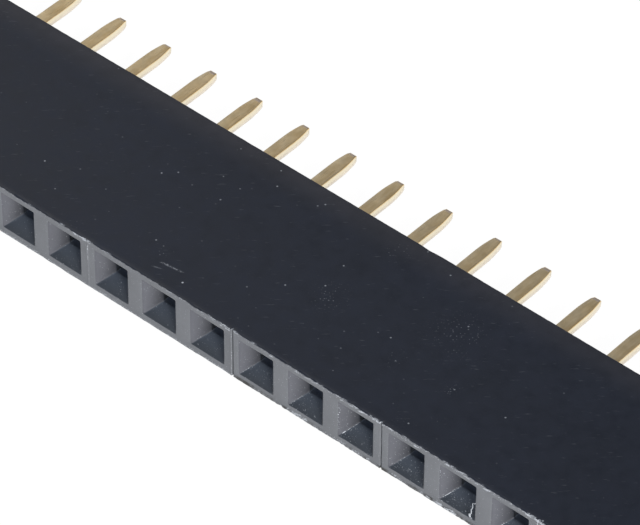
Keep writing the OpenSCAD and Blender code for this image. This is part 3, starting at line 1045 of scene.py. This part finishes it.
def add_skin(shell, wear, sections, relief):
    """The long edges, the broad faces and the ends. Returns each station's upper and lower run."""
    rows = []
    upper_marks = []
    lower_marks = []
    for x, index, inset in sections:
        upper, lower = section(x, wear, index, relief[index], inset)
        rows.append(([(x, y, z) for y, z in upper], [(x, y, z) for y, z in lower]))
        marks = [wear.upper_marks(index, step) for step in range(EDGE_POINTS)]
        marks += [top_marks(x, y) for y, z in upper[EDGE_POINTS:-ARC_STEPS - 1]]
        marks += [CLEAN] * (ARC_STEPS + 1)
        low_marks = [wear.lower_marks(index, step) for step in range(EDGE_POINTS)]
        # The end corners are clean, so that no mark runs across the flat end faces.
        upper_marks.append([CLEAN] * len(marks) if inset > 0 else marks)
        lower_marks.append([CLEAN] * len(low_marks) if inset > 0 else low_marks)
    # The fringes have the entry face's rough finish, and so has the whole lower entry edge.
    edge = FRINGE_STEPS
    shell.grid([upper[:edge + 1] for upper, lower in rows], ENTRY_SLOT, [m[:edge + 1] for m in upper_marks])
    shell.grid([upper[edge:] for upper, lower in rows], SMOOTH_SLOT, [m[edge:] for m in upper_marks])
    shell.grid([lower[:-EDGE_POINTS + 1] for upper, lower in rows], SMOOTH_SLOT)
    shell.grid([lower[-EDGE_POINTS:] for upper, lower in rows], ENTRY_SLOT, lower_marks)
    # Both ends: the rounded corners between the runs, and the flat end faces.
    corner = len(END_TURNS) + 1
    for end in (rows[:corner], rows[-corner:]):
        shell.grid([wall_line(lower[-1], upper[0]) for upper, lower in end], ENTRY_SLOT)
        shell.grid([wall_line(lower[0], upper[-1]) for upper, lower in end], SMOOTH_SLOT)
    for upper, lower in (rows[0], rows[-1]):
        entry = wall_line(lower[-1], upper[0])[1:-1]
        board = wall_line(lower[0], upper[-1])[1:-1]
        shell.plate(entry + upper + board[::-1] + lower, SMOOTH_SLOT)
    return rows[len(END_TURNS):-len(END_TURNS)]


def from_socket(amounts, socket):
    """The amount in a table that holds from the last socket named there up to this one."""
    return amounts[max(start for start in amounts if start <= socket)]


def build_housing(look):
    """The housing's closed mesh, rounded and worn, with all its sockets."""
    rng = np.random.default_rng(look.seed)
    radius = look.edge_radius / MM
    stations, starts, walls = strip_stations(radius)
    wear = EdgeWear(rng, stations, look)
    sections = [(x, i, 0.0) for i, x in enumerate(stations)]
    for turn in np.radians(END_TURNS):
        out = radius * math.sin(turn)
        inset = radius * (1 - math.cos(turn))
        sections.insert(0, (stations[0] - out, 0, inset))
        sections.append((stations[-1] + out, len(stations) - 1, inset))
    shell = Shell()
    rows = add_skin(shell, wear, sections, witness_relief(stations, walls))
    # Entry face and board face, socket by socket, with the witness lines between them.
    for socket, centre_x in enumerate(CONTACT_X, 1):
        chips = from_socket(CHIPPED_FROM, socket) + 0.014 * rng.random()
        # Other sockets get such a hairline at random too, partly flash and partly painted highlight.
        random_valley_highlight = max(rng.uniform(-1.2, 1.0), 0.0)
        valley = VALLEY_FLASH_AND_HIGHLIGHT.get(socket, random_valley_highlight)
        dust = from_socket(DUSTY_FROM, socket)
        mouth, board_ring = add_socket(shell, rng, look, centre_x, chips, valley, dust)
        first = starts[socket - 1]
        last = first + STATIONS_PER_SOCKET
        add_pierced_face(shell, face_border(rows, first, last, 0), mouth, ENTRY_SLOT)
        add_pierced_face(shell, face_border(rows, first, last, -1), board_ring, SMOOTH_SLOT)
        if socket == THREAD_SOCKET:
            add_thread(shell, rng, centre_x)
        if len(walls[socket]) > 1:
            add_witness(shell, rng, rows, last, last + len(walls[socket]) - 1)
    return shell.build("housing_moulding")


# ---------------------------------------------------------------- contacts

ROLLED_SLOT, SHEARED_SLOT, BROKEN_SLOT, TIP_SLOT = range(4)
# Painted shade: how far the colour is drawn towards bronze along the right-hand edge, ring by ring from the
# upper face to the lower one, for the shade on the rolled edge.
PAINTED_EDGE_SHADE = (0.45, 0.5, 0.55, 0.0, 0.0, 0.0, 0.38)
# The same along the left-hand edge, as a share of that.
PAINTED_EDGE_SHADE_LEFT = 0.3
# Radius at the corners of the tail's blunt tip.
TIP_CORNER = 0.02
# Ranges of the tip's bevel, along it and into its faces, and of how short a tail is left.
BEVEL_LENGTHS, BEVEL_DEPTHS, SHORTFALLS = (0.12, 0.22), (0.03, 0.065), (0.0, 0.012)
# Range of the height at which the cut edge turns from sheared to torn, as a share of the thickness.
TEAR_HEIGHTS = (0.34, 0.46)
# Height of the step between the two bands; the torn one stands back by a third to a half of it.
TEAR_STEP = 0.012
# Tails that the punch left a little short, and by how much.
SHORT_TAILS = {"contact_25": 0.04, "contact_08": 0.03, "contact_36": 0.025}


def stamping_half(look, tail_end, bevel):
    """Right half of the stamping's plan, from the tail's tip to the end of the fork's gap."""
    half = look.tail_width / 2 / MM
    tip = look.tip_width / 2 / MM
    taper = look.taper_length / MM
    draw = half - tip
    radius = (taper * taper + draw * draw) / (2 * draw)
    start = tail_end - taper

    def edge(depth):
        return (half - radius + math.sqrt(radius * radius - (depth - start) ** 2), depth)

    points = [(tip - TIP_CORNER, tail_end), (tip - TIP_CORNER * 0.35, tail_end - TIP_CORNER * 0.3)]
    points.append(edge(tail_end - TIP_CORNER))
    points += [edge(depth) for depth in np.linspace(tail_end - bevel, start, 8)]
    points += arc(half + ROOT_RADIUS, BODY_END + ROOT_RADIUS, ROOT_RADIUS, 180, 270, 4)
    points.append((BODY_HALF, BODY_END))
    for step in BARB_STEPS:
        points += [(BODY_HALF, step), (BARB_HALF, step), (BODY_HALF, step - BARB_LENGTH)]
    points += [(BODY_HALF, BODY_FRONT), (FORK_HALF, BODY_FRONT), (FORK_HALF, LEAD_IN_END)]
    points += [(FORK_HALF - LEAD_IN_WIDTH, TINE_FRONT), (GAP_HALF, TINE_FRONT)]
    points += arc(0.8, NOSE_DEPTH, NOSE_RADIUS, 180 + NOSE_TURN, 180 - NOSE_TURN, 8)
    return points + arc(0.0, FORK_END - GAP_HALF, GAP_HALF, 0, 90, 5)


def inset_loop(loop, distance):
    """The closed loop moved inwards; the loop runs anticlockwise."""
    moved = []
    for i, point in enumerate(loop):
        before = np.array(point) - np.array(loop[i - 1])
        after = np.array(loop[(i + 1) % len(loop)]) - np.array(point)
        before = before / max(np.linalg.norm(before), 1e-9)
        after = after / max(np.linalg.norm(after), 1e-9)
        inward = np.array([-before[1] - after[1], before[0] + after[0]])
        reach = max(np.dot(inward, inward) / 2, 0.35)
        moved.append((point[0] + inward[0] * distance / reach, point[1] + inward[1] * distance / reach))
    return moved


def build_contact(look, name, rng, centre_x):
    """One stamped contact: rolled upper edges, a smooth and a torn band round its cut edge, bevelled tip."""
    bevel = rng.uniform(*BEVEL_LENGTHS)
    bevel_depth = rng.uniform(*BEVEL_DEPTHS)
    tail_end = TAIL_END_Y - ENTRY_Y - rng.uniform(*SHORTFALLS) - SHORT_TAILS.get(name, 0.0)
    right = stamping_half(look, tail_end, bevel)
    # Anticlockwise seen from above: up the right side from the gap, round the tip, down the left side.
    loop = list(reversed(right)) + [(-x, depth) for x, depth in right[:-1]]
    half = STOCK / 2
    rolled = look.rolled_edge / MM
    burr = look.burr_edge / MM
    tear = -half + STOCK * rng.uniform(*TEAR_HEIGHTS)
    # Heights of the rings from the upper face down, how far each is inset, and the bands between them.
    layers = [
        (half, rolled), (half - rolled * 0.29, rolled * 0.29), (half - rolled, 0.0),
        (tear, 0.0), (tear - TEAR_STEP, TEAR_STEP / 2), (-half + burr, TEAR_STEP / 3), (-half, burr),
    ]
    bands = (ROLLED_SLOT, ROLLED_SLOT, SHEARED_SLOT, SHEARED_SLOT, BROKEN_SLOT, BROKEN_SLOT)
    edge_shade = [[(bronze_share if x > 0 else PAINTED_EDGE_SHADE_LEFT * bronze_share, 0.0) for x, depth in loop] for bronze_share in PAINTED_EDGE_SHADE]
    shell = Shell()
    rings = []
    for height, distance in layers:
        ring = []
        for x, depth in inset_loop(loop, distance):
            z = height * (1 - ramp(depth - (tail_end - bevel), bevel) * bevel_depth / half)
            ring.append((centre_x + x, ENTRY_Y + depth, MID_Z + z))
        rings.append(ring)
    for band, slot in enumerate(bands):
        shell.tube(rings[band:band + 2], slot, edge_shade[band:band + 2])
    # Each broad face is one face for the bevelled tip and one for the rest.
    count = len(loop)
    tip = [i for i in range(count) if loop[i][1] > tail_end - bevel - 1e-6]
    rest = [i % count for i in range(tip[-1], tip[0] + count + 1)]
    for ring, marks in ((rings[0], edge_shade[0]), (rings[-1], edge_shade[-1])):
        for part, slot in ((tip, TIP_SLOT), (rest, ROLLED_SLOT)):
            shell.plate([ring[i] for i in part], slot, [marks[i] for i in part])
    return shell.build(f"{name}_stamping")


# ---------------------------------------------------------------- studio

# What the camera looks at, in millimetres.
AIM = (2.66, ENTRY_Y + 5.09, 2.54)
# Half the side of the floor, in metres. It lies a hair below the part, so that no two faces share a plane.
FLOOR_HALF = 1.5
FLOOR_GAP = 0.01
# How much of what the camera sees of the floor is plain white, and how bright that is.
WHITE_SHARE = 0.88
WHITE_STRENGTH = 1.08


def softbox(name, place, energy, size, tint="#ffffff"):
    """A square softbox that faces the middle of the part."""
    data = bpy.data.lights.new(name, "AREA")
    data.energy = energy
    data.color = linear(tint)[:3]
    data.shape = "SQUARE"
    data.size = size
    made = bpy.data.objects.new(name, data)
    made.location = place
    made.rotation_euler = (-Vector(place)).to_track_quat("-Z", "Y").to_euler()
    made.visible_camera = False
    bpy.context.scene.collection.objects.link(made)


def build_floor(look):
    """A wide matt floor that the camera and reflections see as white, with the part's shadow on it."""
    mesh = bpy.data.meshes.new("studio_floor")
    corners = ((-1, -1), (1, -1), (1, 1), (-1, 1))
    points = [(x * FLOOR_HALF, y * FLOOR_HALF, -FLOOR_GAP * MM) for x, y in corners]
    mesh.from_pydata(points, [], [range(4)])
    floor = bpy.data.objects.new("studio_floor", mesh)
    bpy.context.scene.collection.objects.link(floor)
    material = bpy.data.materials.new("matt_white_sweep")
    node = empty_tree(material)
    ray = node("LightPath", out=None)
    seen = node("Math", MAXIMUM, in_0=ray["Is Camera Ray"], in_1=ray["Is Glossy Ray"])
    seen = node("Math", MAXIMUM, in_0=seen, in_1=ray["Is Transmission Ray"])
    share = node("Math", MULTIPLY, in_0=seen, in_1=WHITE_SHARE)
    matt = node("BsdfDiffuse", Color=look.floor)
    white = node("Emission", Color=WHITE, Strength=WHITE_STRENGTH)
    mixed = node("MixShader", in_0=share, in_1=matt, in_2=white)
    node("OutputMaterial", out=None, Surface=mixed)
    mesh.materials.append(material)


def build_sky(look):
    """Pale light from all round; the camera sees it white."""
    world = bpy.data.worlds.new("studio_sky")
    node = empty_tree(world)
    camera = node("LightPath", out="Is Camera Ray")
    strength = node("Math", MAXIMUM, in_0=look.sky, in_1=camera)
    tint = node("Mix", COLOURS, 2, in_0=camera, in_6=linear("#e2ecff"), in_7=WHITE)
    background = node("Background", Color=tint, Strength=strength)
    node("OutputWorld", out=None, Surface=background)
    bpy.context.scene.world = world


def build_camera(look):
    """The camera, turned and raised about the point it looks at."""
    aim = Vector(AIM) * MM
    away = Vector((
        math.sin(look.azimuth) * math.cos(look.elevation),
        -math.cos(look.azimuth) * math.cos(look.elevation),
        math.sin(look.elevation),
    ))
    data = bpy.data.cameras.new("camera")
    data.lens = look.lens
    data.sensor_width = 36.0
    data.clip_start = 0.01
    data.clip_end = 10.0
    camera = bpy.data.objects.new("camera", data)
    turn = away.to_track_quat("Z", "Y").to_matrix() @ Matrix.Rotation(look.roll, 3, "Z")
    camera.matrix_world = Matrix.Translation(aim + away * look.distance) @ turn.to_4x4()
    bpy.context.scene.collection.objects.link(camera)
    bpy.context.scene.camera = camera


# ---------------------------------------------------------------- operators

class HEADER_OT_housing(bpy.types.Operator):
    """Mould the housing: rounded and worn edges, funnels, bores and slots"""

    bl_idname = "header.housing"
    bl_label = "Mould the housing"

    def execute(self, context):
        look = context.scene.header_housing
        made = build_housing(look)
        # In the order of the housing's slots.
        materials = (
            polished_mould_pbt(look),
            # The entry face, fringes and lower entry edge: the light grey is partly the rough finish and
            # partly painted reflection of the bright floor.
            textured_pbt(
                "glass_filled_pbt_spark_eroded_mould_painted_sheen", look, look.entry_plastic_with_painted_sheen, (0.5, 0.66), 1.7, 1.0
            ),
            # Bores: a painted-light copy, darker where the throat starts and lighter deeper in.
            textured_pbt(
                "glass_filled_pbt_bore_painted_shading", look, look.bore_painted_shading, (0.45, 0.6), 1.5, 0.0,
                (look.funnel_depth, look.funnel_depth + 0.4 * MM), (0.36, 1.0),
            ),
            # Funnel floors: a painted-shading copy, drawn darker near the mouth and lighter towards the
            # funnel's end.
            textured_pbt(
                "glass_filled_pbt_funnel_floor_painted_shading", look, look.funnel_floor_painted_shading, (0.4, 0.5), 1.6, 0.4,
                (0.0, look.funnel_depth), (0.72, 1.8),
            ),
            # Funnel flanks: a painted-shading copy, drawn lighter near the mouth, where light falls in, and
            # darker towards the funnel's end.
            textured_pbt(
                "glass_filled_pbt_funnel_flank_painted_shading", look, look.funnel_flank_painted_shading, (0.4, 0.5), 1.6, 0.3,
                (0.0, look.funnel_depth), (1.3, 0.86),
            ),
        )
        dress(made, materials, 38)
        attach(made, BODY)
        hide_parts("housing")
        return {"FINISHED"}


class HEADER_OT_contacts(bpy.types.Operator):
    """Stamp the contacts, one for each socket"""

    bl_idname = "header.contacts"
    bl_label = "Stamp the contacts"

    def execute(self, context):
        look = context.scene.header_contacts
        rng = np.random.default_rng(look.seed)
        # In the order of the contacts' slots.
        materials = (
            flash_gold_rolled(look),
            flash_gold_cut("flash_gold_on_sheared_edge_painted_highlight", look.sheared_with_painted_highlight, (0.3, 0.45), 0.004),
            flash_gold_cut("flash_gold_on_torn_edge_painted_highlight", look.fractured_with_painted_highlight, (0.5, 0.7), 0.008),
            flash_gold_cut("bare_bronze_at_parted_tip", look.bare, (0.35, 0.5), 0.006),
        )
        for name, centre_x in zip(CONTACTS, CONTACT_X):
            made = build_contact(look, name, rng, centre_x)
            dress(made, materials, 40)
            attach(made, BODY)
            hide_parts(name)
        return {"FINISHED"}


class HEADER_OT_studio(bpy.types.Operator):
    """Set the floor, the lights and the camera"""

    bl_idname = "header.studio"
    bl_label = "Set the studio"

    def execute(self, context):
        look = context.scene.header_studio
        build_floor(look)
        build_sky(look)
        softbox("overhead_softbox", (-0.12, 0.0, 0.14), look.overhead, 0.12, "#fffcf6")
        softbox("front_softbox", (0.27, -0.13, 0.05), look.front, 0.14)
        softbox("rear_softbox", (-0.085, 0.058, 0.062), look.rear, 0.06, "#fff2d2")
        build_camera(look)
        context.scene.view_settings.view_transform = "Standard"
        return {"FINISHED"}


class HEADER_PT_panel(bpy.types.Panel):
    """The strip's tools"""

    bl_label = "Pin header"
    bl_idname = "HEADER_PT_panel"
    bl_space_type = "VIEW_3D"
    bl_region_type = "UI"
    bl_category = "Pin header"

    def draw(self, context):
        for operator in (HEADER_OT_studio, HEADER_OT_housing, HEADER_OT_contacts):
            self.layout.operator(operator.bl_idname)


CLASSES = (
    HousingLook, ContactLook, StudioLook,
    HEADER_OT_housing, HEADER_OT_contacts, HEADER_OT_studio, HEADER_PT_panel,
)
SETTINGS = {"header_housing": HousingLook, "header_contacts": ContactLook, "header_studio": StudioLook}


def register():
    for cls in CLASSES:
        bpy.utils.register_class(cls)
    for name, group in SETTINGS.items():
        setattr(bpy.types.Scene, name, bpy.props.PointerProperty(type=group))


def unregister():
    for name in SETTINGS:
        delattr(bpy.types.Scene, name)
    for cls in reversed(CLASSES):
        bpy.utils.unregister_class(cls)


def main():
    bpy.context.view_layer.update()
    register()
    bpy.ops.header.studio()
    bpy.ops.header.housing()
    bpy.ops.header.contacts()


if __name__ == "__main__":
    main()
